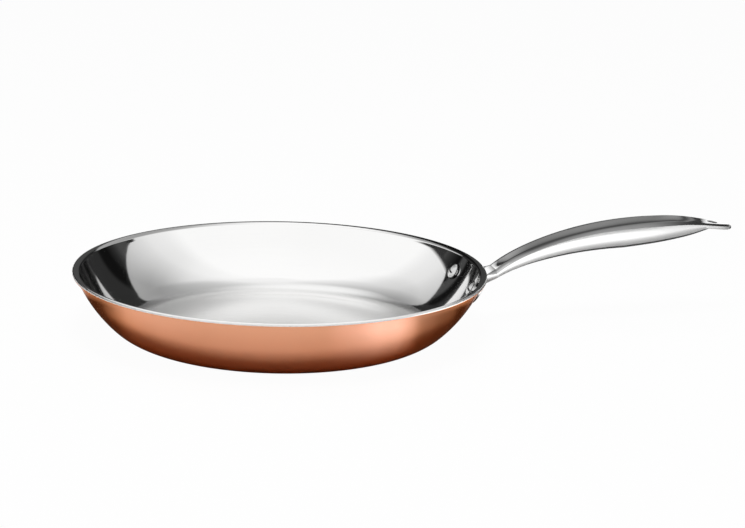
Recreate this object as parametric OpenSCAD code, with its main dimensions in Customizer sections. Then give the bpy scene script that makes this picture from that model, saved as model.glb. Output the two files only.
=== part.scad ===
// Frying pan: a body spun from three bonded plies, copper outside, aluminium in the
// middle and steel inside, with a flared pouring lip, and a long arched handle of steel
// pressings that two rivets hold to the wall.
// The origin is the centre of the base's underside. +Z is up and +X runs along the handle.

/* [Body] */
// Diameter of the body across the pouring lip
rim_d = 280; // [220:5:340]
// Height of the top of the lip above the base's underside
pan_h = 45.4; // [42:0.2:60]
// Outside radius of the round corner between base and wall
corner_r = 36; // [24:1:40]
// Angle that the corner turns through before the wall's own curve begins
corner_turn = 43; // [36:1:50]
// Outside radius of the wall's gentle curve
side_r = 92; // [80:1:96]
// Steepness of the top of the wall, measured from the flat
wall_angle = 63; // [58:1:66]

/* [Lip] */
// Radius of the inside of the flared lip
lip_r = 5.5; // [4.5:0.1:8]
// Rise of the lip's last stretch, measured from the flat
lip_angle = 5; // [0:1:15]
// Length of the lip's last straight stretch
lip_flat = 1.2; // [0.8:0.1:4]
// Radius of the polished round edge of the lip
edge_r = 1.9; // [1.7:0.1:4]

/* [Plies] */
// Thickness of the copper ply
copper_t = 0.8; // [0.5:0.1:1.2]
// Thickness of the aluminium ply
core_t = 1.2; // [0.8:0.1:1.5]
// Thickness of the steel ply
liner_t = 0.5; // [0.3:0.1:0.7]

/* [Rivets] */
// Drop from the top of the lip to the middle of the rivets' heads
rivet_drop = 12.1; // [11:0.1:15]
// Distance between the two rivets along the inside of the wall
rivet_gap = 48.5; // [44:0.5:60]
// Diameter of the round heads inside the pan
rivet_head_d = 11.4; // [9:0.1:14]
// Height of the round heads
rivet_head_h = 2.6; // [1.5:0.1:3.5]
// Diameter of the shanks and of the holes that they fill
rivet_d = 6; // [4:0.5:8]
// Diameter of the set heads on the bracket
rivet_tail_d = 9; // [8.5:0.1:12]
// Height of the set heads on the bracket
rivet_tail_h = 1.4; // [1:0.1:2.5]
// Height at which a flat head sits clear of the curved wall
rivet_seat = 0.2; // [0.2:0.05:0.4]

/* [Bracket] */
// Thickness of the bracket's plate
plate_t = 3; // [2:0.1:4]
// Margin of plate round each rivet's axis
plate_margin = 9.5; // [8:0.1:11]
// Half height of the plate behind the neck, along the wall
plate_mid = 12; // [10:0.1:13]
// Length of the neck past the lip
neck_len = 9.5; // [7:0.1:20]
// Width of the neck where it joins the grip
neck_w = 20; // [16:0.5:24]
// Depth of the neck where it joins the grip
neck_depth = 7.9; // [6.5:0.1:11]
// Drop from the top of the lip to the top of the neck at the grip
neck_drop = 3.9; // [3:0.1:8]
// How much wider the neck gets on each side by the time it meets the plate
neck_flare = 3.5; // [0:0.1:6]
// Length of the neck's tenon inside the grip
tenon_len = 9; // [5:0.5:15]
// Gap between the tenon or tongue and the pressings round it
tenon_gap = 0.3; // [0.2:0.05:0.6]

/* [Grip] */
// Reach of the handle's tip past the lip
handle_reach = 182.7; // [150:0.1:240]
// Height of the handle's highest point above the lip
handle_rise = 27.9; // [10:0.1:45]
// Drop from the handle's highest point to its tip
tip_drop = 5.5; // [0:0.1:12]
// Width of the grip at its widest
grip_w = 30; // [24:0.5:38]
// Depth of the grip at its deepest
grip_depth = 17.9; // [14:0.1:24]
// Thickness of the two pressings
grip_t = 1; // [0.7:0.05:1.2]
// Depth of the dish along the top of the grip
dish_depth = 3; // [1:0.1:4]
// Width of the rounded shoulder between the dish and the side
shoulder_w = 5.4; // [3.5:0.1:6]
// Drop of the rounded shoulder from the dish's edge to the side
shoulder_drop = 2.3; // [1.6:0.1:3.5]

/* [Hanging tab] */
// Length of the flat tab behind the grip
tab_len = 22.7; // [18:0.1:30]
// Thickness of the tab
tab_t = 3.6; // [3:0.1:5]
// Width of the bevel along the tab's upper edges
bevel_w = 1.8; // [1:0.1:2.5]
// Drop of the bevel along the tab's upper edges
bevel_drop = 1.2; // [1.1:0.05:1.6]
// Diameter of the hanging hole
hang_hole_d = 7; // [5:0.5:8]
// Distance from the tab's tip to the middle of the hanging hole
hang_hole_back = 14.7; // [12:0.1:18]

/* [Hidden] */

// Overrun of every cut past the faces that it cuts
over = rim_d / 280;

// Body: the outside line is a flat base, a corner arc, a wall arc, a straight and the lip
rim_r = rim_d / 2;
wall_t = copper_t + core_t + liner_t;
lip_out_r = lip_r - wall_t;
arc_step = 2;
side_mid_z = corner_r - (corner_r - side_r) * cos(corner_turn);
wall_straight = (pan_h - lip_flat * sin(lip_angle) - lip_r * cos(lip_angle)
    + lip_out_r * cos(wall_angle) + side_r * cos(wall_angle) - side_mid_z) / sin(wall_angle);
base_r = rim_r - (corner_r - side_r) * sin(corner_turn) - side_r * sin(wall_angle)
    - wall_straight * cos(wall_angle) - lip_out_r * sin(wall_angle)
    + (lip_out_r + wall_t / 2) * sin(lip_angle) - lip_flat * cos(lip_angle);
side_mid_x = base_r + (corner_r - side_r) * sin(corner_turn);
straight_end = [side_mid_x + side_r * sin(wall_angle) + wall_straight * cos(wall_angle),
                side_mid_z - side_r * cos(wall_angle) + wall_straight * sin(wall_angle)];
lip_mid = straight_end + lip_out_r * [sin(wall_angle), -cos(wall_angle)];

// Angles from one to another in even steps of about arc_step
function turn(from, to) =
    let (n = max(2, ceil(abs(to - from) / arc_step)))
    [for (i = [0 : n]) from + (to - from) * i / n];

// How far the round edge of the lip falls back at a depth d in from the outside
function edge_pull(d) = edge_r - sqrt(pow(edge_r, 2) - pow(d - wall_t / 2, 2));

// The line at a depth d in from the outside: the corner, the wall's curve and its straight
function wall_line(d) = concat(
    [for (a = turn(0, corner_turn)) [base_r + (corner_r - d) * sin(a), corner_r - (corner_r - d) * cos(a)]],
    [for (a = turn(corner_turn, wall_angle)) if (a > corner_turn)
        [side_mid_x + (side_r - d) * sin(a), side_mid_z - (side_r - d) * cos(a)]],
    [straight_end + d * [-sin(wall_angle), cos(wall_angle)]]);

// The end of the lip at a depth d in from the outside
function lip_end(d) = lip_mid + (lip_out_r + d) * [-sin(lip_angle), cos(lip_angle)]
    + (lip_flat - edge_pull(d)) * [cos(lip_angle), sin(lip_angle)];

// The line at a depth d, from the pan's axis out to the edge of the lip
function pan_line(d) = concat(
    [[0, d]],
    wall_line(d),
    [for (a = turn(wall_angle, lip_angle)) if (a < wall_angle)
        lip_mid + (lip_out_r + d) * [-sin(a), cos(a)]],
    [lip_end(d)]);

function reversed(line) = [for (i = [len(line) - 1 : -1 : 0]) line[i]];

// Steepness of the wall at the height z on the line at a depth d
function wall_slope(z, d) =
    let (c = (side_mid_z - z) / (side_r - d))
    c < cos(wall_angle) ? wall_angle : acos(c);

// Radius of the wall at the height z on the line at a depth d
function wall_radius(z, d) =
    let (a = wall_slope(z, d),
         end = straight_end + d * [-sin(wall_angle), cos(wall_angle)])
    a < wall_angle ? side_mid_x + (side_r - d) * sin(a) : end[0] - (end[1] - z) / tan(wall_angle);

// One ply between the depths d0 and d1
module ply(d0, d1) {
    edge_steps = 4;
    edge = [for (i = [1 : edge_steps - 1]) lip_end(d0 + (d1 - d0) * i / edge_steps)];
    rotate_extrude($fn = 180)
        polygon(concat(pan_line(d0), edge, reversed(pan_line(d1))));
}

// Rivets: each axis stands square on the wall
rivet_z = pan_h - rivet_drop;
rivet_r = wall_radius(rivet_z, wall_t);
rivet_slope = wall_slope(rivet_z, wall_t);
rivet_turn = asin(rivet_gap / 2 / rivet_r);

// Puts its children at each rivet, with local +Z pointing into the pan
module at_rivets() {
    for (side = [-1, 1])
        rotate([0, 0, side * rivet_turn])
            translate([rivet_r, 0, rivet_z])
                rotate([0, -rivet_slope, 0])
                    children();
}

// A round head of diameter d and height h with its flat side at z = 0
module round_head(d, h) {
    dome_r = (pow(d / 2, 2) + pow(h, 2)) / 2 / h;
    dome_half = asin(d / 2 / dome_r);
    rotate_extrude($fn = 64)
        polygon(concat([[0, 0]], [for (a = turn(dome_half, 0))
            [dome_r * sin(a), dome_r * cos(a) - dome_r + h]]));
}

module rivet_holes(from, to) {
    at_rivets() translate([0, 0, from]) cylinder(d = rivet_d, h = to - from, $fn = 48);
}

// Handle: places along it
neck_x = rim_r + neck_len;
tip_x = rim_r + handle_reach;
tab_x = tip_x - tab_len;
run = tip_x - neck_x;
neck_z = pan_h - neck_drop;
peak_z = pan_h + handle_rise;

// Handle: how the neck slopes, as angles from the flat
neck_top_angle = 19;
neck_under_angle = 25;

// Handle: curves of two Bezier spans each, as shares of the run and of the named sizes
top_along_shares = [0, 0.13, 0.42, 0.71, 0.81, 0.9, 1];
top_rise_shares = [0, 0.58, 1, 1];
top_fall_shares = [0, 0.6, 1];
depth_along_shares = [0, 0.1, 0.36, 0.53, 0.68, 0.79, 0.87];
depth_gain_shares = [0, 0.46, 0.79, 1];
depth_loss_shares = [0, 0.34, 1];
width_along_shares = [0, 0.2, 0.43, 0.65, 0.79, 1, 1];
width_gain_shares = [0, 0, 1, 1];
width_loss_shares = [0, 0.57, 1];
root_depth = 0.36 * grip_depth;
top_curve = curve(top_along_shares, neck_z, peak_z, top_rise_shares, peak_z - tip_drop, top_fall_shares);
depth_curve = curve(depth_along_shares, neck_depth, grip_depth, depth_gain_shares,
    root_depth, depth_loss_shares);
width_curve = curve(width_along_shares, neck_w / 2, grip_w / 2, width_gain_shares,
    0, width_loss_shares);

// Handle: lengths over which its features come in and run out
neck_round_share = 0.15;
shoulder_in = 0.45 * neck_w;
shoulder_out = 0.2 * run;
dish_in = 0.07 * run;
dish_out = 0.1 * run;
crease_from_share = 0.35;
root_len = 0.75 * tab_t;

// Handle: roundness of the outline, 1 for an ellipse and towards 0 for a square corner
belly_power = 0.85;
tab_power = 0.2;

// Control points of a curve that goes from one size to a second and on to a third
function curve(along, from, mid, gains, to, losses) = [for (i = [0 : 6])
    [neck_x + run * along[i],
     i < 4 ? from + (mid - from) * gains[i] : mid + (to - mid) * losses[i - 4]]];

function bezier(p, t) = pow(1 - t, 3) * p[0] + 3 * pow(1 - t, 2) * t * p[1]
    + 3 * (1 - t) * pow(t, 2) * p[2] + pow(t, 3) * p[3];

// Height of a Bezier span at the place x, found by halving the span
function span_at(p, x, low = 0, high = 1, halvings = 22) =
    let (mid = (low + high) / 2)
    halvings == 0 ? bezier(p, mid)[1]
        : bezier(p, mid)[0] < x ? span_at(p, x, mid, high, halvings - 1)
                                : span_at(p, x, low, mid, halvings - 1);

function curve_at(c, x) = x < c[3][0] ? span_at([c[0], c[1], c[2], c[3]], x)
                                      : span_at([c[3], c[4], c[5], c[6]], x);

// A smooth step from 0 at the place a to 1 at the place b
function ramp(x, a, b) = let (u = min(1, max(0, (x - a) / (b - a)))) u * u * (3 - 2 * u);

// Sizes of the handle's cross-section at the place x
function before_neck(x) = max(0, neck_x - x);
function top_z(x) = x < neck_x ? neck_z - before_neck(x) * tan(neck_top_angle) : curve_at(top_curve, x);
function depth(x) =
    x < neck_x ? neck_depth + before_neck(x) * (tan(neck_under_angle) - tan(neck_top_angle))
    : x < tab_x ? curve_at(depth_curve, x)
    : tab_t + (curve_at(depth_curve, tab_x) - tab_t) * (1 - ramp(x, tab_x, tab_x + root_len));
function half_width(x) = curve_at(width_curve, x)
    + neck_flare * pow(before_neck(x) / (neck_x - rivet_r), 2);
function shoulder_share(x) =
    neck_round_share + (1 - neck_round_share) * ramp(x, neck_x - shoulder_in, neck_x + shoulder_in / 4);
function tail_share(x) = ramp(x, tab_x - shoulder_out, tab_x);
function shoulder_width(x) = min(half_width(x) / 2,
    shoulder_share(x) * (shoulder_w + (bevel_w - shoulder_w) * tail_share(x)));
function shoulder_fall(x) = shoulder_share(x) * (shoulder_drop + (bevel_drop - shoulder_drop) * tail_share(x));
function dish(x) = dish_depth * ramp(x, neck_x, neck_x + dish_in) * (1 - ramp(x, tab_x - dish_out, tab_x));
function crease(x) = 1 + ramp(x, neck_x + crease_from_share * run, tab_x);
function under_power(x) = belly_power + (tab_power - belly_power) * ramp(x, tab_x, tab_x + root_len);

// The top outline at the place x, from one side's seam over the dish to the other's,
// with the metal of thickness inset taken off
shoulder_steps = 5;
dish_steps = 10;
function top_outline(x, inset) =
    let (edge = half_width(x) - shoulder_width(x),
         seam = half_width(x) - inset - edge,
         crest_z = top_z(x) - inset,
         seam_z = top_z(x) - shoulder_fall(x),
         shoulder = [for (i = [0 : shoulder_steps - 1])
             let (a = 90 * i / shoulder_steps)
             [edge + seam * pow(cos(a), crease(x)),
              seam_z + (crest_z - seam_z) * pow(sin(a), crease(x))]],
         middle = [for (i = [0 : dish_steps])
             let (y = edge * (1 - 2 * i / dish_steps))
             [y, crest_z - dish(x) * cos(90 * y / edge)]])
    concat(shoulder, middle, [for (p = reversed(shoulder)) [-p[0], p[1]]]);

// The bottom outline at the place x, from one side's seam round the belly to the other's
under_steps = 18;
function bottom_outline(x, inset) =
    let (seam_z = top_z(x) - shoulder_fall(x),
         half = half_width(x) - inset,
         drop = depth(x) - shoulder_fall(x) - inset)
    [for (i = [0 : under_steps])
        let (a = 180 * i / under_steps, c = cos(a))
        [-sign(c) * half * pow(abs(c), under_power(x)), seam_z - drop * pow(sin(a), under_power(x))]];

function trimmed(line) = [for (i = [1 : len(line) - 2]) line[i]];
function upright(x, outline) = [for (p = outline) [x, p[0], p[1]]];

// Rings of the whole section, of the upper pressing and of the lower pressing
function full_ring(x, inset) =
    upright(x, concat(top_outline(x, inset), trimmed(bottom_outline(x, inset))));
function upper_ring(x) =
    upright(x, concat(top_outline(x, 0), reversed(top_outline(x, grip_t))));
function lower_ring(x) =
    upright(x, concat(bottom_outline(x, 0), reversed(bottom_outline(x, grip_t))));

function places(from, to, steps) = [for (i = [0 : steps]) from + (to - from) * i / steps];

// The end of a loft, as one face or as the strips of a thin wall
function whole_end(n) = [[for (j = [0 : n - 1]) j]];
function strip_end(n) = [for (j = [0 : n / 2 - 2]) [j, j + 1, n - 2 - j, n - 1 - j]];

// A closed solid through rings that have the same number of points
module loft(rings, thin = false) {
    n = len(rings[0]);
    last = (len(rings) - 1) * n;
    end = thin ? strip_end(n) : whole_end(n);
    sides = [for (i = [0 : len(rings) - 2]) for (j = [0 : n - 1])
        let (a = i * n + j, b = i * n + (j + 1) % n)
        each [[a, b + n, b], [a, a + n, b + n]]];
    polyhedron(
        points = [for (ring = rings) each ring],
        faces = concat(sides, end, [for (face = end) [for (j = reversed(face)) last + j]]));
}

module copper_shell() {
    color("#c07850")
        difference() {
            ply(0, copper_t);
            rivet_holes(-wall_t - over, over);
        }
}

module aluminium_core() {
    color("#c9cbcd")
        difference() {
            ply(copper_t, copper_t + core_t);
            rivet_holes(-wall_t - over, over);
        }
}

module steel_liner() {
    color("#e4e4e2")
        difference() {
            ply(copper_t + core_t, wall_t);
            rivet_holes(-wall_t - over, over);
        }
}

// The plate's outline on the wall, square to the wall at the height of the rivets
module plate_blank() {
    reach = rivet_gap / 2 / cos(rivet_turn);
    translate([rivet_r, 0, rivet_z])
        rotate([0, 180 - rivet_slope, 0])
            linear_extrude(4 * (wall_t + plate_t), center = true) {
                circle(plate_mid, $fn = 96);
                for (side = [-1, 1])
                    translate([0, side * reach])
                        circle(plate_margin, $fn = 96);
                polygon([[-plate_margin, -reach], [-plate_mid, 0], [-plate_margin, reach],
                         [plate_margin, reach], [plate_mid, 0], [plate_margin, -reach]]);
            }
}

// The neck from the middle of the plate to the grip, with its tenon
module neck() {
    start_x = rivet_r - 2 * wall_t;
    difference() {
        loft([for (x = places(start_x, neck_x, 8)) full_ring(x, 0)]);
        rotate_extrude($fn = 180)
            polygon(concat([[0, -plate_t]], wall_line(-plate_t / 2),
                [[rivet_r, pan_h + plate_t], [0, pan_h + plate_t]]));
    }
    loft([for (x = places(neck_x - tenon_gap, neck_x + tenon_len, 4))
        full_ring(x, grip_t + tenon_gap)]);
}

module handle_bracket() {
    plate_turn = 3 * rivet_turn;
    color("#a9abad")
        difference() {
            union() {
                intersection() {
                    rotate([0, 0, -plate_turn / 2])
                        rotate_extrude(angle = plate_turn, $fn = 180)
                            polygon(concat(wall_line(0), reversed(wall_line(-plate_t))));
                    plate_blank();
                }
                neck();
            }
            rivet_holes(-2 * (wall_t + plate_t), over);
        }
}

grip_steps = 48;
module grip_upper_shell() {
    color("#b4b6b8")
        loft([for (x = places(neck_x, tab_x, grip_steps)) upper_ring(x)], thin = true);
}

module grip_lower_shell() {
    color("#9c9ea0")
        loft([for (x = places(neck_x, tab_x, grip_steps)) lower_ring(x)], thin = true);
}

module hanging_tab() {
    tongue_len = 3 * tab_t;
    root_steps = 4;
    tip_steps = 16;
    hole_x = tip_x - hang_hole_back;
    droop = atan((top_z(hole_x - bevel_w) - top_z(hole_x + bevel_w)) / (2 * bevel_w));
    tip_run = tab_len - root_len;
    last_share = 0.997;
    color("#b4b6b8")
        difference() {
            union() {
                loft([for (x = concat(places(tab_x, tab_x + root_len, root_steps),
                    [for (i = [1 : tip_steps])
                        tip_x - tip_run * (1 - last_share * sin(90 * i / tip_steps))]))
                    full_ring(x, 0)]);
                loft([for (x = places(tab_x - tongue_len, tab_x + tenon_gap, 4))
                    full_ring(x, grip_t + tenon_gap)]);
            }
            translate([hole_x, 0, top_z(hole_x) - tab_t / 2])
                rotate([0, droop, 0])
                    cylinder(d = hang_hole_d, h = 3 * tab_t, center = true, $fn = 64);
        }
}

module rivets() {
    color("#d0d2d4")
        at_rivets() {
            translate([0, 0, rivet_seat])
                round_head(rivet_head_d, rivet_head_h);
            translate([0, 0, -wall_t - plate_t])
                cylinder(d = rivet_d, h = wall_t + plate_t + rivet_seat, $fn = 48);
            translate([0, 0, -wall_t - plate_t])
                rotate([180, 0, 0])
                    round_head(rivet_tail_d, rivet_tail_h);
        }
}

copper_shell();
aluminium_core();
steel_liner();
handle_bracket();
grip_upper_shell();
grip_lower_shell();
hanging_tab();
rivets();
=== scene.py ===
from math import asin, atan2, ceil, cos, hypot, pi, radians, sin, sqrt, tan

import bpy
from mathutils import Matrix, Vector


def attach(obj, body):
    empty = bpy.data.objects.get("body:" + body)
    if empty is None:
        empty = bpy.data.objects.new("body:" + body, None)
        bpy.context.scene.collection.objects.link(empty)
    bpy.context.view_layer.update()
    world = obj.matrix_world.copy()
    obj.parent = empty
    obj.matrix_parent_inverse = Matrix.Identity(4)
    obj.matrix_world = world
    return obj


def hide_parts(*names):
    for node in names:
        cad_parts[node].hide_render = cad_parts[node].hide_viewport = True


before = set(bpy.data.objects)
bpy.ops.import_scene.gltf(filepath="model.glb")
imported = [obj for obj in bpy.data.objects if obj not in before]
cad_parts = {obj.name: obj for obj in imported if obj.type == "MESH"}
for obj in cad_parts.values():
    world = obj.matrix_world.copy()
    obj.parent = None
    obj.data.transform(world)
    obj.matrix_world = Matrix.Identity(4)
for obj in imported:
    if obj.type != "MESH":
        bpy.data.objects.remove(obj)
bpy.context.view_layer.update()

print("frame loaded:", sorted(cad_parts))

mm = 0.001      # sizes are written in millimetres, and meshes are made in metres


# Shader writing: sums and products of values are plain expressions

class Wire:
    def __init__(self, tree, socket):
        self.tree = tree
        self.socket = socket

    def maths(self, operation, *values):
        node = self.tree.nodes.new("ShaderNodeMath")
        node.operation = operation
        for slot, value in zip(node.inputs, values):
            plug(self.tree, slot, value)
        return Wire(self.tree, node.outputs[0])

    def __add__(self, other):
        return self.maths("ADD", self, other)

    def __radd__(self, other):
        return self.maths("ADD", other, self)

    def __sub__(self, other):
        return self.maths("SUBTRACT", self, other)

    def __rsub__(self, other):
        return self.maths("SUBTRACT", other, self)

    def __mul__(self, other):
        return self.maths("MULTIPLY", self, other)

    def __rmul__(self, other):
        return self.maths("MULTIPLY", other, self)

    def __truediv__(self, other):
        return self.maths("DIVIDE", self, other)

    def __pow__(self, other):
        return self.maths("POWER", self, other)

    def clamped(self):
        return self.maths("MINIMUM", self.maths("MAXIMUM", self, 0.0), 1.0)

    def rising(self, start, end):
        # 0 at start and 1 at end, both in millimetres
        return ((self - start * mm) * (1 / ((end - start) * mm))).clamped()


def plug(tree, slot, value):
    if isinstance(value, Wire):
        tree.links.new(value.socket, slot)
    else:
        slot.default_value = value


def dot(wires, way):
    return wires[0] * way[0] + wires[1] * way[1] + wires[2] * way[2]


class Finish:
    output = "OutputMaterial"

    def __init__(self, name):
        self.material = bpy.data.materials.new(name)
        self.start(self.material)

    def start(self, owner):
        owner.use_nodes = True
        self.tree = owner.node_tree
        self.tree.nodes.clear()

    def add(self, kind, settings=None, sockets=None, out=0):
        node = self.tree.nodes.new("ShaderNode" + kind)
        for key, value in (settings or {}).items():
            if key == "stops":
                ramp = node.color_ramp
                while len(ramp.elements) < len(value):
                    ramp.elements.new(1.0)
                for element, (place, tone) in zip(ramp.elements, value):
                    element.position = place
                    element.color = (tone, tone, tone, 1)
            else:
                setattr(node, key, value)
        for key, value in (sockets or {}).items():
            plug(self.tree, node.inputs[key], value)
        return None if out is None else Wire(self.tree, node.outputs[out])

    def place(self):
        return self.add("TexCoord", out="Object")

    def parts(self, vector):
        split = self.add("SeparateXYZ", sockets={0: vector})
        return [Wire(self.tree, end) for end in split.socket.node.outputs]

    def vector(self, x, y, z):
        return self.add("CombineXYZ", sockets={0: x, 1: y, 2: z})

    def heading(self, x, y):
        # radians round from y towards x
        return self.add("Math", {"operation": "ARCTAN2"}, {0: x, 1: y})

    def noise(self, vector, scale, detail=2.0, rough=0.5):
        return self.add("TexNoise", sockets={
            "Vector": vector, "Scale": scale, "Detail": detail, "Roughness": rough})

    def blend(self, share, first, second):
        return self.add("Mix", {"data_type": "RGBA"}, {0: share, 6: first, 7: second}, out=2)

    def profile(self, value, low, high, table, unit=1.0):
        # a share that follows value through the table, whose places run from low to high
        along = (value - low * unit) * (1 / ((high - low) * unit))
        stops = [((place - low) / (high - low), share) for place, share in table]
        return self.parts(self.add("ValToRGB", {"stops": stops}, {"Fac": along}))[0]

    def rays(self):
        # which rays come from the camera, and which off something shiny
        path = self.add("LightPath").socket.node
        return [Wire(self.tree, path.outputs[kind]) for kind in ("Is Camera Ray", "Is Glossy Ray")]

    def bump(self, height, strength, distance):
        return self.add("Bump", sockets={
            "Strength": strength, "Distance": distance, "Height": height}, out="Normal")

    def glow(self, tone):
        return self.add("Emission", sockets={"Color": tone, "Strength": 1.0})

    def mixed(self, share, first, second):
        return self.add("MixShader", sockets={0: share, 1: first, 2: second})

    def metal(self, colour, roughness, normal, **plain):
        self.done(self.add("BsdfPrincipled", out="BSDF", sockets={
            "Base Color": colour, "Roughness": roughness, "Metallic": 1.0, "Normal": normal, **plain}))

    def done(self, shader):
        self.add(self.output, sockets={"Surface": shader}, out=None)


# Meshes

def makeMesh(name, points, faces, sharpAngle=None):
    mesh = bpy.data.meshes.new(name)
    mesh.from_pydata([[c * mm for c in p] for p in points], [], faces)
    mesh.update()
    mesh.shade_smooth()
    if sharpAngle:
        mesh.set_sharp_from_angle(angle=radians(sharpAngle))
    piece = bpy.data.objects.new(name, mesh)
    bpy.context.scene.collection.objects.link(piece)
    return piece


def dress(piece, finish, node):
    piece.data.materials.clear()
    piece.data.materials.append(finish.material)
    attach(piece, "root")
    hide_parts(node)


def steps(start, end, count):
    return [start + (end - start) * i / count for i in range(count + 1)]


def bands(rows, n, first=0, closed=True):
    # faces between rows of n points, which close into rings unless told otherwise
    faces = []
    for i in range(rows - 1):
        for j in range(n if closed else n - 1):
            a, b = first + i * n + j, first + i * n + (j + 1) % n
            faces.append((a, b, b + n, a + n))
    return faces


def solve(low, high, tooLow):
    # closes in on the value at which tooLow turns false
    for _ in range(40):
        guess = (low + high) / 2
        if tooLow(guess):
            low = guess
        else:
            high = guess
    return guess


def ramp(x, start, end):
    u = min(1.0, max(0.0, (x - start) / (end - start)))
    return u * u * (3 - 2 * u)


# The pan's body: a line spun round the axis, offset inwards for each ply

pan = {
    "rimRadius": 140.0,
    "baseRadius": 90.5,
    "height": 45.4,
    "cornerRadius": 36.0,
    "cornerTurn": 43.0,         # angles are in degrees from level
    "sideRadius": 92.0,
    "wallAngle": 67.0,
    "lipRadius": 1.5,
    "lipAngle": 5.0,
    "lipFlat": 1.5,
    "topRise": 69.0,            # of the lining, just under its shoulder
    "shoulderRadius": 1.3,      # where the lining turns over the rim
    "shoulderAngle": 25.0,
    "rimAngle": 12.0,
    "edgeRadius": 1.9,          # rounding of the cut edge
    "copper": 0.8,              # thickness of each ply
    "core": 1.2,
    "liner": 0.5,
    "turns": 288,               # faces round the pan
}
wall = pan["copper"] + pan["core"] + pan["liner"]
floorShares = (0.0, 0.5, 0.95, 0.995)       # rings of the flat base, as shares of its radius


def turned(centre, radius, a):
    # the point of an arc at the angle a from straight down
    return (centre[0] + radius * sin(a), centre[1] - radius * cos(a))


def between(start, end, perDegree):
    return steps(radians(start), radians(end), max(1, ceil(abs(end - start) * perDegree)))[1:]


# centres of the arcs that the body's outer line is made of, from the base up
corner, side, lip, lipFlat = (pan[k] for k in ("cornerRadius", "sideRadius", "lipRadius", "lipFlat"))
cornerTurn, wallTurn, lipTurn = (radians(pan[k]) for k in ("cornerTurn", "wallAngle", "lipAngle"))
cornerMid = (pan["baseRadius"], corner)
sideMid = turned(cornerMid, corner - side, cornerTurn)
lipMid = (pan["rimRadius"] - lipFlat * cos(lipTurn) + (lip + wall / 2) * sin(lipTurn),
          pan["height"] - lipFlat * sin(lipTurn) - (lip + wall) * cos(lipTurn))


def wallLine(depth, fine=1.0):
    # the side of the pan from the base to the bend of the lip, this deep in the metal
    line = [turned(cornerMid, corner - depth, 0)]
    line += [turned(cornerMid, corner - depth, a) for a in between(0, pan["cornerTurn"], fine)]
    line += [turned(sideMid, side - depth, a) for a in between(pan["cornerTurn"], pan["wallAngle"], fine * 2)]
    line.append(turned(lipMid, -lip - depth, wallTurn))
    return line


def lipEnd(depth):
    # the cut edge is round from ply to ply
    pull = pan["edgeRadius"] - sqrt(pan["edgeRadius"] ** 2 - (depth - wall / 2) ** 2)
    bend = turned(lipMid, -lip - depth, lipTurn)
    return (bend[0] + (lipFlat - pull) * cos(lipTurn), bend[1] + (lipFlat - pull) * sin(lipTurn))


def panLine(depth, fine=1.0):
    line = [(pan["baseRadius"] * share, depth) for share in floorShares] + wallLine(depth, fine)
    line += [turned(lipMid, -lip - depth, a) for a in between(pan["wallAngle"], pan["lipAngle"], fine / 3)]
    last, end = line[-1], lipEnd(depth)
    return line + [((last[0] + end[0]) / 2, (last[1] + end[1]) / 2), end]


def liningLine(fine=0.4):
    # the lining's own face: up the wall, round a tight shoulder and over the rim in a flatter curve
    end = lipEnd(wall)
    foot = turned(sideMid, side - wall, wallTurn)
    rise, bend, rimTurn = (radians(pan[k]) for k in ("topRise", "shoulderAngle", "rimAngle"))
    small = pan["shoulderRadius"]

    def turnOver(wide):
        wideMid = (end[0] + wide * sin(rimTurn), end[1] - wide * cos(rimTurn))
        join = turned(wideMid, -wide, bend)
        smallMid = (join[0] + small * sin(bend), join[1] - small * cos(bend))
        return wideMid, smallMid, turned(smallMid, -small, rise)

    def tooTight(wide):
        top = turnOver(wide)[2]
        return top[0] - foot[0] >= (top[1] - foot[1]) / tan(rise)

    wide = solve(1.0, 30.0, tooTight)       # as wide as the rise leaves room for
    wideMid, smallMid, top = turnOver(wide)
    line = [(pan["baseRadius"] * share, wall) for share in floorShares] + wallLine(wall)[:-1]
    line += [(foot[0] + (top[0] - foot[0]) * t, foot[1] + (top[1] - foot[1]) * t) for t in (0.33, 0.67, 1)]
    line += [turned(smallMid, -small, a) for a in between(pan["topRise"], pan["shoulderAngle"], fine)]
    return line + [turned(wideMid, -wide, a) for a in between(pan["shoulderAngle"], pan["rimAngle"], fine)]


def spin(name, line, sharpAngle=40):
    # line runs from the axis out and back to the axis
    turns = pan["turns"]
    inner = line[1:-1]
    n = len(inner)
    points = [(0.0, 0.0, line[0][1]), (0.0, 0.0, line[-1][1])]
    faces = []
    for i in range(turns):
        a = 2 * pi * i / turns
        points += [(r * cos(a), r * sin(a), z) for r, z in inner]
        here, there = 2 + i * n, 2 + (i + 1) % turns * n
        faces.append((0, there, here))
        faces += [(here + j, there + j, there + j + 1, here + j + 1) for j in range(n - 1)]
        faces.append((1, here + n - 1, there + n - 1))
    return makeMesh(name, points, faces, sharpAngle)


def ply(name, start, end, fineOut, fineIn):
    edge = [lipEnd(start + (end - start) * share) for share in (0.2, 0.4, 0.6, 0.8)]
    face = liningLine() if end == wall else panLine(end, fineIn)
    return spin(name, panLine(start, fineOut) + edge + face[::-1])


def spunCoordinates(finish):
    x, y, z = finish.parts(finish.place())
    return (x * x + y * y) ** 0.5, finish.heading(y, x), z


def spunMarks(finish, radius, angle, z, look):
    # rings left by polishing on a lathe: long round the pan, short along its line
    along = (radius + z * 0.8) * look["rings"]
    return finish.noise(finish.vector(along, angle * look["wander"], 0.0), 1.0, 4.0, 0.65)


copperLook = {
    "clean": (0.93, 0.455, 0.272, 1),
    "warm": (0.84, 0.37, 0.20, 1),
    "edge": (0.86, 0.50, 0.33, 1),      # colour at a grazing angle
    "roughness": 0.125,
    "marks": 0.08,                      # how much the rings change the roughness
    "rings": 2600.0,
    "wander": 1.5,
    "clouds": 14.0,
    "cloudy": 0.06,                     # how much the clouds change it
}


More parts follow.
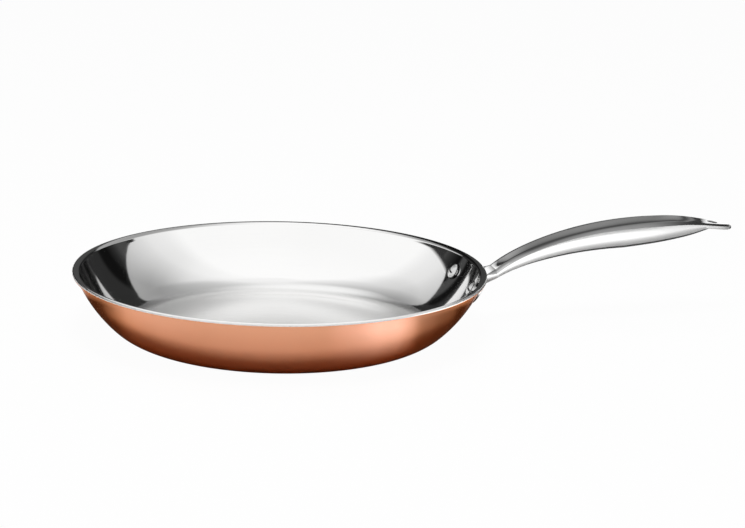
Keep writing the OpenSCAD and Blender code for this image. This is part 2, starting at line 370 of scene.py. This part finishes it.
def copperFinish():
    f = Finish("polishedCopper")
    radius, angle, z = spunCoordinates(f)
    marks = spunMarks(f, radius, angle, z, copperLook)
    cloud = f.noise(f.place(), copperLook["clouds"], 3.0, 0.6)
    tone = ((cloud - 0.45) * 2.2 + (marks - 0.5) * 0.5).clamped()
    colour = f.blend(tone * 0.45, copperLook["clean"], copperLook["warm"])
    roughness = copperLook["roughness"] + (marks - 0.5) * copperLook["marks"]
    roughness = roughness + (cloud - 0.5) * copperLook["cloudy"]
    f.metal(colour, roughness, f.bump(marks, 0.05, 0.00005), **{"Specular Tint": copperLook["edge"]})
    return f


linerLook = {
    "bright": (0.985, 0.983, 0.978, 1),
    "dull": (0.90, 0.90, 0.892, 1),
    "darkerMiddle": (0.70, 0.70, 0.695, 1),     # darker tone towards the middle of the floor
    "darkerMiddleRadius": 63.0,
    "darkerMiddleFade": 31.25,                  # from its edge to its full tone
    "mirror": 0.045,                    # roughness of the wall
    "satin": 0.18,                      # roughness of the floor
    "wallFoot": (106.556, 105.444),     # radii between which the mirror wall turns into the floor
    "rings": 1700.0,
    "wander": 1.0,
}


def linerFinish():
    f = Finish("mirrorSteel")
    radius, angle, z = spunCoordinates(f)
    marks = spunMarks(f, radius, angle, z, linerLook)
    cloud = f.noise(f.place(), 9.0, 2.0, 0.5)
    onFloor = radius.rising(*linerLook["wallFoot"])
    tone = ((cloud - 0.5) * 1.4 + (marks - 0.5) * 0.6 + onFloor * 0.5).clamped()
    colour = f.blend(tone * 0.6, linerLook["bright"], linerLook["dull"])
    # the floor's colour darkens towards its middle
    darkerMiddle = (linerLook["darkerMiddleRadius"] * mm - radius) * (1 / (linerLook["darkerMiddleFade"] * mm))
    darkerMiddle = (darkerMiddle + (cloud - 0.5) * 0.8).clamped()
    colour = f.blend(darkerMiddle * 0.5, colour, linerLook["darkerMiddle"])
    roughness = linerLook["mirror"] + onFloor * (linerLook["satin"] - linerLook["mirror"]) + marks * 0.03
    f.metal(colour, roughness, f.bump(marks, 0.02, 0.00002))
    return f


coreLook = {
    "bright": (0.93, 0.93, 0.925, 1),
    "dull": (0.80, 0.80, 0.80, 1),
    "roughness": 0.28,
}


def coreFinish():
    f = Finish("turnedAluminium")
    radius, angle, z = spunCoordinates(f)
    lines = f.noise(f.vector(z * 6000.0, angle * 3.0, radius * 900.0), 1.0, 3.0, 0.6)
    colour = f.blend(lines, coreLook["bright"], coreLook["dull"])
    f.metal(colour, coreLook["roughness"] + lines * 0.12, f.bump(lines, 0.12, 0.00004))
    return f


copperIn, coreIn = pan["copper"], pan["copper"] + pan["core"]
outer = ply("copperBody", 0.0, copperIn, 1.0, 0.5)
dress(outer, copperFinish(), "copper_shell")
middlePly = ply("aluminiumMiddle", copperIn, coreIn, 0.5, 0.5)
dress(middlePly, coreFinish(), "aluminium_core")
lining = ply("steelLining", coreIn, wall, 0.5, 1.0)
dress(lining, linerFinish(), "steel_liner")
print("body spun:", sum(len(piece.data.polygons) for piece in (outer, middlePly, lining)), "faces")


# The rivets are the frame's own solids, and the bracket fits round them

rivet = {
    "away": 129.608,        # from the pan's axis, where they go through the wall
    "gap": 48.5,
    "height": 33.3,
    "slope": 60.806,        # of the wall there, in degrees
    "seam": (5.05, 5.45),   # radii between which the painted shade round each head begins
}
rivetX = rivet["away"]
rivetTurn, slope = asin(rivet["gap"] / 2 / rivetX), radians(rivet["slope"])


# The handle: its section at each place along it, as in the source of the part

handle = {
    "reach": 182.7,
    "rise": 27.9,
    "tipDrop": 5.5,
    "width": 30.0,
    "depth": 17.9,
    "metal": 1.0,
    "dish": 3.0,                # depth of the hollow along the top
    "dishIn": 0.07,             # shares of the grip's run over which it comes and goes
    "dishOut": 0.1,
    "shoulderWidth": 5.4,
    "shoulderDrop": 2.3,
    "shoulderOut": 0.2,
    "neckLength": 9.5,
    "neckWidth": 20.0,
    "neckDepth": 7.9,
    "neckDrop": 3.9,
    "neckFlare": 3.5,
    "neckShoulder": 0.15,       # how much of the shoulder is left on the neck
    "neckTopAngle": 19.0,
    "neckUnderAngle": 25.0,
    "creaseStart": 0.35,        # share of the run from which the shoulder draws into a crease
    "belly": 0.85,              # the underside is round on the grip and square on the tab
    "square": 0.2,
    "tabLength": 22.7,
    "tab": 3.6,                 # thickness
    "bevelWidth": 1.8,
    "bevelDrop": 1.2,
    "tipRound": 5.0,            # length over which the tab thins out
    "tipThin": 0.94,
    "holeDiameter": 7.0,
    "holeBack": 14.7,
    "holeEdge": 0.35,
}
neckX = pan["rimRadius"] + handle["neckLength"]
tipX = pan["rimRadius"] + handle["reach"]
tabX = tipX - handle["tabLength"]
run = tipX - neckX
neckZ = pan["height"] - handle["neckDrop"]
peakZ = pan["height"] + handle["rise"]
shoulderIn, rootLength = 0.45 * handle["neckWidth"], 0.75 * handle["tab"]


def curve(alongShares, start, middle, gainShares, end, lossShares):
    # bezier points: the gain up to the fullest place and the loss after it, by shares of the run
    values = [start + (middle - start) * g for g in gainShares]
    values += [middle + (end - middle) * s for s in lossShares]
    return [(neckX + run * a, v) for a, v in zip(alongShares, values)]


topCurve = curve([0, 0.13, 0.42, 0.71, 0.81, 0.9, 1], neckZ, peakZ, [0, 0.58, 1, 1],
                 peakZ - handle["tipDrop"], [0, 0.6, 1])
depthCurve = curve([0, 0.1, 0.36, 0.53, 0.68, 0.79, 0.87], handle["neckDepth"], handle["depth"],
                   [0, 0.46, 0.79, 1], 0.36 * handle["depth"], [0, 0.34, 1])
widthCurve = curve([0, 0.2, 0.43, 0.65, 0.79, 1, 1], handle["neckWidth"] / 2, handle["width"] / 2,
                   [0, 0, 1, 1], 0.0, [0, 0.57, 1])


def bezier(p, t):
    s = 1 - t
    return [s ** 3 * a + 3 * s * s * t * b + 3 * s * t * t * c + t ** 3 * d for a, b, c, d in zip(*p)]


def curveAt(points, x):
    span = points[:4] if x < points[3][0] else points[3:]
    return bezier(span, solve(0.0, 1.0, lambda t: bezier(span, t)[0] < x))[1]


class Section:
    # sizes of the handle's cross-section at the place x
    def __init__(self, x):
        before = max(0.0, neckX - x)
        topSlope, underSlope = (tan(radians(handle[k])) for k in ("neckTopAngle", "neckUnderAngle"))
        onTab = ramp(x, tabX, tabX + rootLength)
        self.x = x
        if x < neckX:
            self.top = neckZ - before * topSlope
            self.depth = handle["neckDepth"] + before * (underSlope - topSlope)
        else:
            self.top = curveAt(topCurve, x)
            self.depth = curveAt(depthCurve, min(x, tabX))
        if x >= tabX:
            self.depth = handle["tab"] + (self.depth - handle["tab"]) * (1 - onTab)
        flare = handle["neckFlare"] * (before / (neckX - rivetX)) ** 2
        self.half = curveAt(widthCurve, max(x, neckX)) + flare
        share = handle["neckShoulder"] + (1 - handle["neckShoulder"]) * ramp(
            x, neckX - shoulderIn, neckX + shoulderIn / 4)
        tail = ramp(x, tabX - handle["shoulderOut"] * run, tabX)
        self.shoulder = min(self.half / 2, share * (
            handle["shoulderWidth"] + (handle["bevelWidth"] - handle["shoulderWidth"]) * tail))
        self.fall = share * (handle["shoulderDrop"] + (handle["bevelDrop"] - handle["shoulderDrop"]) * tail)
        self.dish = handle["dish"] * ramp(x, neckX, neckX + handle["dishIn"] * run) * (
            1 - ramp(x, tabX - handle["dishOut"] * run, tabX))
        self.crease = 1 + ramp(x, neckX + handle["creaseStart"] * run, tabX)
        self.under = handle["belly"] + (handle["square"] - handle["belly"]) * onTab

    def upper(self, inset=0.0, shoulderSteps=10, dishSteps=24):
        edge = self.half - self.shoulder
        seam = self.half - inset - edge
        crest, seamZ = self.top - inset, self.top - self.fall
        shoulder = []
        for i in range(shoulderSteps):
            a = pi / 2 * i / shoulderSteps
            shoulder.append((edge + seam * cos(a) ** self.crease,
                             seamZ + (crest - seamZ) * sin(a) ** self.crease))
        middle = [(y, crest - self.dish * cos(pi / 2 * y / edge)) for y in steps(edge, -edge, dishSteps)]
        return [(self.x, y, z) for y, z in shoulder + middle + [(-p, q) for p, q in shoulder[::-1]]]

    def lower(self, inset=0.0, count=40):
        seamZ = self.top - self.fall
        half, drop = self.half - inset, self.depth - self.fall - inset
        line = []
        for i in range(count + 1):
            a = pi * i / count
            c, s = cos(a), max(0.0, sin(a))
            sign = -1 if c > 0 else 1
            line.append((self.x, sign * half * abs(c) ** self.under, seamZ - drop * s ** self.under))
        return line

    def whole(self):
        return self.upper() + self.lower()[1:-1]


def loft(name, rings, thin=False, sharpAngle=35):
    # a thin loft is a wall whose rings run out along one face and back along the other
    n = len(rings[0])
    last = (len(rings) - 1) * n
    ends = [(j, j + 1, n - 2 - j, n - 1 - j) for j in range(n // 2 - 1)] if thin else [tuple(range(n))]
    faces = bands(len(rings), n) + [face[::-1] for face in ends]
    faces += [tuple(last + j for j in face) for face in ends]
    return makeMesh(name, [p for ring in rings for p in ring], faces, sharpAngle)


steelLook = {
    "bright": (0.66, 0.66, 0.655, 1),
    "dull": (0.55, 0.55, 0.55, 1),
    "rivet": (0.86, 0.86, 0.855, 1),
    # the seam tone is painted shade round the rivets' heads
    "seam": (0.04, 0.04, 0.04, 1),
    "satin": 0.14,              # roughness of the handle
    "polished": 0.07,           # roughness of the rivets' heads
    "grain": (30.0, 1800.0),    # fineness along the handle and across it
}


def steelFinish():
    f = Finish("satinSteel")
    x, y, z = f.parts(f.place())
    rough = steelLook["satin"]
    along, across = steelLook["grain"]
    grain = f.noise(f.vector(x * along, y * across, z * across), 1.0, 3.0, 0.6)
    cloud = f.noise(f.place(), 40.0, 2.0, 0.5)
    colour = f.blend((grain * 0.6 + cloud * 0.4).clamped(), steelLook["bright"], steelLook["dull"])
    roughness = rough + (grain - 0.5) * 0.6 * rough + (cloud - 0.5) * 0.05
    f.metal(colour, roughness, f.bump(grain, 0.3 * rough, 0.00004))
    return f


satin = steelFinish()
gripPlaces = steps(neckX, tabX, 170)
gripUpper = [Section(x).upper() + Section(x).upper(handle["metal"])[::-1] for x in gripPlaces]
gripLower = [Section(x).lower() + Section(x).lower(handle["metal"])[::-1] for x in gripPlaces]
dress(loft("gripUpper", gripUpper, True), satin, "grip_upper_shell")
dress(loft("gripLower", gripLower, True), satin, "grip_lower_shell")
print("grip lofted in", len(gripPlaces), "sections")

tipRun = handle["tabLength"] - rootLength
tabPlaces = steps(tabX, tabX + rootLength, 12)
tabPlaces += [tipX - tipRun * (1 - 0.9995 * sin(a)) for a in steps(0, pi / 2, 60)[1:]]


def tabRing(x):
    # the tab thins out over its last few millimetres
    past = max(0.0, x - tipX + handle["tipRound"]) / handle["tipRound"]
    middle = Section(x).top - handle["tab"] / 2
    return [(px, y, middle + (z - middle) * sqrt(1 - handle["tipThin"] * past * past))
            for px, y, z in Section(x).whole()]


def bore(piece, x, radius, edge):
    # cuts an upright hole with softened rims, square to the tab's drooping top
    droop = atan2(Section(x - 2).top - Section(x + 2).top, 4)
    half = handle["tab"] / 2
    middle = Vector((x, 0, Section(x).top - half))
    profile = [(radius + 2 * edge, half + edge)]
    profile += [(radius + edge * (1 - cos(a)), half - edge * (1 - sin(a))) for a in steps(pi / 2, 0, 5)]
    profile += [(r, -z) for r, z in profile[::-1]]
    rings = []
    for r, z in profile[::-1]:
        ring = [Vector((r * cos(a), r * sin(a), z)) for a in steps(0, 2 * pi, 64)[:-1]]
        rings.append([middle + Matrix.Rotation(droop, 3, "Y") @ p for p in ring])
    cutter = loft("borer", rings)
    modifier = piece.modifiers.new("bore", "BOOLEAN")
    modifier.operation, modifier.solver, modifier.object = "DIFFERENCE", "EXACT", cutter
    bored = bpy.data.meshes.new_from_object(piece.evaluated_get(bpy.context.evaluated_depsgraph_get()))
    piece.modifiers.clear()
    piece.data = bored
    bored.shade_smooth()
    bored.set_sharp_from_angle(angle=radians(28))
    bpy.data.objects.remove(cutter)


tab = loft("hangingTab", [tabRing(x) for x in tabPlaces])
bore(tab, tipX - handle["holeBack"], handle["holeDiameter"] / 2, handle["holeEdge"])
dress(tab, satin, "hanging_tab")


# The bracket: a plate on the outside of the wall, with the neck that carries the grip

bracket = {
    "thick": 3.0,
    "margin": 9.5,          # round each rivet
    "middle": 12.0,         # half height behind the neck
    "edge": 0.8,            # rounding of the plate's rim
    "fillet": 3.0,          # between the plate and the neck
    "start": 131.5,         # where the neck begins inside the plate
    "sink": 1.5,            # how far it goes in
    "seam": 0.02,           # between the neck and the grip
}
plateReach = rivet["gap"] / 2 / cos(rivetTurn)
upSlope, outward = Vector((cos(slope), 0, sin(slope))), Vector((sin(slope), 0, -cos(slope)))
betweenRivets = Vector((rivetX, 0, rivet["height"]))


def radiusAt(z, line):
    for (r0, z0), (r1, z1) in zip(line, line[1:]):
        if z0 <= z <= z1 and z1 > z0:
            return r0 + (r1 - r0) * (z - z0) / (z1 - z0)
    return line[-1][0] if z > line[-1][1] else line[0][0]


def onWall(u, v, line):
    # u runs up the wall and v sideways from the middle between the rivets
    start = betweenRivets + upSlope * u + Vector((0, v, 0))

    def inside(w):
        p = start + outward * w
        return hypot(p.x, p.y) < radiusAt(p.z, line)

    return start + outward * solve(-2.0, 12.0, inside)


def plateRim():
    # the outline, from circles round the rivets and a fuller middle
    rim = []
    m, c = bracket["margin"], bracket["middle"]
    for way in (1, -1):
        rim += [(m * cos(a) * way, (plateReach + m * sin(a)) * way) for a in steps(0, pi, 28)]
        rim += [((-m + (m - c) * (1 - abs(t))) * way, plateReach * t * way) for t in steps(1, -1, 30)[1:-1]]
    return rim


def plateRings():
    # from the wall out: a flat back, the plate's edge with its rounding, and the face
    thick, edge = bracket["thick"], bracket["edge"]
    spread = (0.05, 0.2, 0.4, 0.6, 0.8)
    layers = [(share, 0, 0) for share in spread] + [(1, 0, 0), (1, 0, thick * 0.4), (1, 0, thick - edge)]
    layers += [(1, edge * (1 - cos(a)), thick - edge * (1 - sin(a))) for a in steps(0, pi / 2, 4)[1:]]
    layers += [(share, 0, thick) for share in spread[::-1]]
    rings = []
    for share, inset, standOff in layers:
        line = wallLine(-standOff)
        shrunk = [(u, v, share * (1 - inset / hypot(u, v))) for u, v in plateRim()]
        rings.append([tuple(onWall(u * s, v * s, line)) for u, v, s in shrunk])
    return rings


def neckRing(x, line):
    # the neck widens into the plate with a fillet, and ends under the plate's face
    ring = Section(x).whole()
    middleZ = sum(p[2] for p in ring) / len(ring)
    fillet = bracket["fillet"]
    out = []
    for px, py, pz in ring:
        gap = px - sqrt(max(0.0, radiusAt(pz, line) ** 2 - py * py))
        q = min(1.0, max(0.0, gap / fillet))
        push = fillet * (1 - sqrt(1 - (1 - q) ** 2))
        away = Vector((py, pz - middleZ))
        away.normalize()
        py, pz = py + away.x * push, pz + away.y * push
        surface = sqrt(max(0.0, radiusAt(pz, line) ** 2 - py * py))
        out.append((max(px, surface - bracket["sink"]), py, pz))
    return out


def capped(rings, first=0):
    n = len(rings[0])
    last = first + (len(rings) - 1) * n
    ends = [tuple(last + j for j in range(n)), tuple(first + j for j in range(n))[::-1]]
    return [p for ring in rings for p in ring], bands(len(rings), n, first) + ends


platePoints, plateFaces = capped(plateRings())
faceLine = wallLine(-bracket["thick"])
neckPlaces = steps(bracket["start"], neckX - bracket["seam"], 56)
neckPoints, neckFaces = capped([neckRing(x, faceLine) for x in neckPlaces], len(platePoints))
holder = makeMesh("bracket", platePoints + neckPoints, plateFaces + neckFaces, 35)
dress(holder, satin, "handle_bracket")


def rivetFinish():
    # polished heads, with painted shade where they meet the wall
    f = Finish("polishedSteel")
    x, y, z = f.parts(f.place())
    off = (x - rivetX * cos(rivetTurn) * mm, y.maths("ABSOLUTE", y) - rivetX * sin(rivetTurn) * mm,
           z - rivet["height"] * mm)
    along = dot(off, (sin(slope) * cos(rivetTurn), sin(slope) * sin(rivetTurn), -cos(slope)))
    away = (off[0] * off[0] + off[1] * off[1] + off[2] * off[2] - along * along + 1e-9) ** 0.5
    grain = f.noise(f.place(), 900.0, 3.0, 0.6)
    # the seam share paints shade round the edge of each head
    seam = away.rising(*rivet["seam"])
    colour = f.blend(seam, f.blend(grain, steelLook["rivet"], steelLook["dull"]), steelLook["seam"])
    f.metal(colour, steelLook["polished"] + grain * 0.03, f.bump(grain, 0.03, 0.00003))
    return f


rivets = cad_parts["rivets"]
rivets.data.materials.clear()
rivets.data.materials.append(rivetFinish().material)
print("handle done")


# The room: a pale floor, even light, and dark boards that only mirrors see

room = {
    "turn": -12.75,             # degrees from the handle to the room's own x
    "frontLamp": {"at": (0, -620, 1300), "size": 420, "power": 15.5},
    "topLamp": {"at": (0, 200, 1500), "size": 1200, "power": 11.0},
}


def inRoom(x, y, z):
    # the camera looks along the room's y, and the handle points away from it by the turn
    turn = radians(room["turn"])
    return Vector((x * cos(turn) - y * sin(turn), x * sin(turn) + y * cos(turn), z))


def grey(level):
    # linear light from an sRGB value out of 255
    s = level / 255
    return s / 12.92 if s <= 0.04045 else ((s + 0.055) / 1.055) ** 2.4


def stand(piece, finish, turn):
    piece.rotation_euler[2] = radians(turn)
    piece.data.materials.append(finish.material)


# painted shade and painted light that mirrors see on the floor: each table gives places and the share of the
# tone there, by degrees round from the front of the pan, or by millimetres out, back or to the right
floorLook = {
    "size": 9000,
    "colour": (0.62, 0.62, 0.62, 1),
    "white": 0.97,              # how much of the floor's shading the camera misses
    "shadeTone": (0.078, 0.05, 0.034, 1),
    "shadeRound": [(-170, 0), (-130, 1), (-88, 1), (-80, 0.93), (-70, 0.5), (-60, 0), (53, 0), (60, 0.46),
                   (70, 0.69), (81, 0.79), (87, 1), (94, 1), (101, 0.8), (130, 0.8), (170, 0)],
    "shadeOut": [(0, 1), (155, 1), (172.5, 0)],
    "backShadeTone": (0.04, 0.04, 0.04, 1),      # painted shade that mirrors see behind the handle, past a line slanting back from it
    "backShare": 0.9,
    "backSlant": 0.25,
    "backFrom": (4, 14),
    "rightFrom": (180, 200),
    "beamTone": (1.32, 1.4, 1.7, 1),
    "beamRound": [(-70, 0), (-55, 0.16), (-40, 0.1), (-25, 0), (18, 0), (30, 0.45), (38, 1), (47, 1),
                  (57, 0)],
    "beamOut": [(112.5, 0), (130, 0.4), (150, 1), (165, 1), (200, 0)],
    "stripLightTone": (2.0, 2.0, 2.0, 1),        # painted light that mirrors see on the floor under the handle
    "stripBack": [(-156, 0), (-132, 1), (-24, 1), (0, 0.75), (18, 0.33), (40, 0.12), (72, 0)],
    "stripRight": [(160, 0), (195, 1), (290, 1), (350, 0.66), (437.5, 0.52), (500, 0.4), (600, 0.36),
                   (625, 0.2)],
}


def floorFinish():
    look = floorLook
    f = Finish("paleFloor")
    x, y, z = f.parts(f.place())
    cameraSees, mirrorSees = f.rays()
    radius = (x * x + y * y) ** 0.5
    heading = f.heading(x, 0.0 - y)
    degree = radians(1)
    shade = f.profile(heading, -180, 180, look["shadeRound"], degree) * f.profile(
        radius, 0, 250, look["shadeOut"], mm)
    beam = f.profile(heading, -180, 180, look["beamRound"], degree) * f.profile(
        radius, 0, 250, look["beamOut"], mm)
    lightStrip = f.profile(y, -200, 200, look["stripBack"], mm) * f.profile(x, 0, 625, look["stripRight"], mm)
    back = (y - x * look["backSlant"]).rising(*look["backFrom"]) * x.rising(*look["rightFrom"])
    shaded = f.add("BsdfDiffuse", sockets={"Color": look["colour"]})
    surface = f.mixed(cameraSees * look["white"], shaded, f.glow((1, 1, 1, 1)))
    surface = f.mixed(mirrorSees * shade, surface, f.glow(look["shadeTone"]))
    # painted shade behind the handle, seen only by mirrors
    surface = f.mixed(mirrorSees * back * look["backShare"], surface, f.glow(look["backShadeTone"]))
    surface = f.mixed(mirrorSees * beam, surface, f.glow(look["beamTone"]))
    # painted light under the handle, seen only by mirrors
    f.done(f.mixed(mirrorSees * lightStrip, surface, f.glow(look["stripLightTone"])))
    return f


far = floorLook["size"]
floorCorners = [(-far, -far, 0), (far, -far, 0), (far, far, 0), (-far, far, 0)]
stand(makeMesh("floor", floorCorners, [(0, 1, 2, 3)]), floorFinish(), room["turn"])


def sheet(name, rows, turn=0.0):
    # rows of corners, each with the light that it sends to mirrors
    n = len(rows[0])
    corners = [p for row in rows for p in row]
    piece = makeMesh(name, [p[:3] for p in corners], bands(len(rows), n, closed=False))
    light = piece.data.attributes.new("light", "FLOAT_COLOR", "POINT")
    for value, p in zip(light.data, corners):
        value.color = (p[3], p[3], p[3], 1)
    f = Finish(name)
    f.done(f.glow(f.add("Attribute", {"attribute_name": "light"})))
    piece.visible_camera = piece.visible_diffuse = piece.visible_shadow = False
    stand(piece, f, turn)


# a long board behind the pan, turned from the camera's line as far again as the handle is
# it is painted in a few plain tones, given as sRGB levels: each upright has its place, height and tone
boardTones = {"black": 16, "dark": 44, "middle": 70, "pale": 200}
board = {
    "away": 250,
    "uprights": [
        (-700, 270, "middle"), (-420, 190, "dark"), (-270, 170, "black"), (-235, 169, "black"),
        (-210, 169, "middle"), (-165, 169, "middle"), (-145, 169, "black"), (-120, 169, "black"),
        (-105, 169, "dark"), (10, 169, "dark"), (25, 169, "black"), (65, 169, "black"), (105, 169, "dark"),
        (145, 169, "middle"), (210, 170, "middle"), (240, 174, "dark"), (300, 190, "dark"),
        (330, 200, "pale")],
}
sheet("backBoard", [[(along, board["away"], z, grey(boardTones[tone])) for z in (0, height)]
                    for along, height, tone in board["uprights"]], 2 * room["turn"])

# a far dark wall on the left, below the light: degrees from straight back, and tone
leftWall = {
    "away": 1300,
    "top": (450, 500),
    "light": 0.95,
    "uprights": [(-106, "white"), (-94, "pale"), (-82, "dark"), (-50, "dark")],
    "tones": {"white": 250, "pale": 120, "dark": 50},
}
wallRows = []
for around, tone in leftWall["uprights"]:
    x, y = leftWall["away"] * sin(radians(around)), leftWall["away"] * cos(radians(around))
    low, high = leftWall["top"]
    level = grey(leftWall["tones"][tone])
    wallRows.append([(x, y, 0, level), (x, y, low, level), (x, y, high, leftWall["light"])])
sheet("leftSheet", wallRows, room["turn"])

# a sheet over the handle, grey before it and dark behind, that follows the arch in the handle's own frame
over = {
    "along": range(140, 401, 5),
    "edge": [(140, 6), (160, 8), (180, 13), (200, 24), (220, 37), (240, 42), (280, 38), (300, 30), (345, 20),
             (400, 20)],        # how far back its darker part begins
    # across the handle: the place, the light and the height over the handle's top
    "strips": [(-130, 0.55, 45), (-60, 0.47, 45), (-30, 0.42, 45), (-12, 0.35, 45), (0, 0.27, 45),
               (12, 0.17, 45), (25, 0.11, 45), (70, 0.09, 45), (78, 0.09, 37), (84, 0.1, 31), (92, 0.12, 5)],
    "level": 45,
    "end": 345,                 # the sheet is level past the handle
    "lift": 0.25,               # more light next to the pan
}


def edgeAt(x):
    for (x0, y0), (x1, y1) in zip(over["edge"], over["edge"][1:]):
        if x <= x1:
            return y0 + (y1 - y0) * (x - x0) / (x1 - x0)


def overShare(x, y):
    # how the light of each strip changes along the handle
    if y > 60:
        return 0.45 + 0.55 * ramp(x, 160, 180) + (2.2 if y < 80 else -0.5) * ramp(x, 290, 325)
    if y > 20:
        return 1 - 0.35 * ramp(x, 275, 320)
    if y > -8 and x < 330:
        return 1 + 0.8 * ramp(x, 280, 310)
    return 1 - 0.85 * ramp(x, 268, 318)


overRows = []
for x in over["along"]:
    top = Section(min(max(x, neckX), tabX)).top
    lift = over["lift"] * (1 - ramp(x, 145, 170))
    overRows.append([
        (x, edgeAt(x) + y, top + (z if x <= over["end"] else over["level"]),
         light * overShare(x, y) + (lift if y < 60 else 0)) for y, light, z in over["strips"]])
sheet("overSheet", overRows)

# bright cards behind the tab and beside the neck: heights with their shares, places along with their light
cards = {
    "tailSheet": {"back": 90, "rises": [(60, 1), (90, 1)], "lights": [(339, 0.05), (345, 1.38), (375, 1.38)]},
    "neckSheet": {"back": 16, "rises": [(44, 1), (51, 1), (55, 0.3)],
                  "lights": [(142.5, 1.6), (146.5, 1.6), (149, 0.9), (151, 0.3)]},
}
for name, card in cards.items():
    sheet(name, [[(x, card["back"], z, light * share) for z, share in card["rises"]]
                 for x, light in card["lights"]])
print("boards standing")

for name in ("frontLamp", "topLamp"):
    lamp = room[name]
    light = bpy.data.lights.new(name, "AREA")
    light.size = lamp["size"] * mm
    light.energy = lamp["power"]
    piece = bpy.data.objects.new(name, light)
    piece.location = inRoom(*lamp["at"]) * mm
    piece.rotation_euler = (-piece.location).to_track_quat("-Z", "Y").to_euler()
    piece.visible_glossy = False
    bpy.context.scene.collection.objects.link(piece)


# Mirrors see a white room that greys towards the back, where there is no lamp

skyLook = {
    "ambient": 0.10,
    # sRGB levels towards the board, by the sine of the height
    "levels": [(0.0, 190), (0.5, 165), (0.62, 155), (0.7, 160), (0.766, 178), (0.82, 198), (0.906, 219),
               (0.966, 240), (1.0, 246)],
    # and the share of them round the room, by the cosine of the angle from the board
    "round": [(-0.16, 0.05), (0.034, 0.245), (0.24, 0.34), (0.34, 0.47), (0.5, 0.66), (0.64, 0.85),
              (0.766, 1.0)],
    # darker clouds: degrees round and up, reach in degrees, and depth
    "clouds": [(-48, 57, 24, 0.27), (38, 56, 18, 0.24)],
    # a bright one, by the cosine of the angle from its middle
    "patchWay": (-0.110, 0.518, 0.848),
    "patch": [(0.958, 0), (0.976, 0.4), (0.9922, 1)],
}


class Sky(Finish):
    output = "OutputWorld"

    def __init__(self, world):
        self.start(world)


world = bpy.data.worlds.new("room")
bpy.context.scene.world = world
sky = Sky(world)
way = sky.parts(sky.add("TexCoord", out="Generated"))
level = (1 - way[2] * way[2]) ** 0.5
boardWay = radians(90 + 2 * room["turn"])
facing = (way[0] * cos(boardWay) + way[1] * sin(boardWay)) / (level + 0.0001)
greys = sky.add("ValToRGB", {"stops": [(p, grey(tone)) for p, tone in skyLook["levels"]]}, {"Fac": way[2]})
seen = sky.blend(sky.profile(facing, -1, 1, skyLook["round"]), (1, 1, 1, 1), greys)
for around, up, reach, share in skyLook["clouds"]:
    a, e, rim = radians(around), radians(up), cos(radians(reach))
    middle = inRoom(cos(e) * sin(a), cos(e) * cos(a), sin(e))
    near = (dot(way, middle) - rim) * (1 / (1 - rim))
    seen = sky.blend(near.clamped() * share, seen, (0, 0, 0, 1))
patch = sky.profile(dot(way, inRoom(*skyLook["patchWay"])), 0.94, 1.0, skyLook["patch"])
seen = sky.blend(patch, seen, (1, 1, 1, 1))
cameraSees, mirrorSees = sky.rays()
seen = sky.blend(mirrorSees, (skyLook["ambient"],) * 3 + (1,), seen)
seen = sky.blend(cameraSees, seen, (1, 1, 1, 1))
sky.done(sky.add("Background", sockets={"Color": seen, "Strength": 1.0}))


# The camera stands where the photograph was taken from

shot = {
    "elevation": 0.2473987,         # radians
    "roll": 0.0264569,
    "distance": 1500.0,
    "focal": 2197.245,              # pixels
    "middle": (372.5, 264.0),
    "origin": (279.5817, 332.3459),     # where the middle of the base shows
    "width": 745,
}
e, roll = shot["elevation"], shot["roll"]
rightWay, aheadWay, upWay = Vector((1, 0, 0)), Vector((0, cos(e), -sin(e))), Vector((0, sin(e), cos(e)))
du, dv = (o - m for o, m in zip(shot["origin"], shot["middle"]))
scale = shot["distance"] / shot["focal"]
across, down = (du * cos(roll) + dv * sin(roll)) * scale, (dv * cos(roll) - du * sin(roll)) * scale
spot = down * upWay - across * rightWay - shot["distance"] * aheadWay
cameraRight = cos(roll) * rightWay + sin(roll) * upWay
cameraUp = cos(roll) * upWay - sin(roll) * rightWay
axes = [inRoom(*axis) for axis in (cameraRight, cameraUp, -aheadWay)]
camera = bpy.data.objects.new("camera", bpy.data.cameras.new("camera"))
camera.data.sensor_width = 36.0
camera.data.lens = shot["focal"] / shot["width"] * camera.data.sensor_width
camera.data.clip_end = 100.0
camera.matrix_world = Matrix(axes).transposed().to_4x4()
camera.matrix_world.translation = inRoom(*spot) * mm
bpy.context.scene.collection.objects.link(camera)
bpy.context.scene.camera = camera
bpy.context.scene.view_settings.view_transform = "Standard"
print("room and camera set")
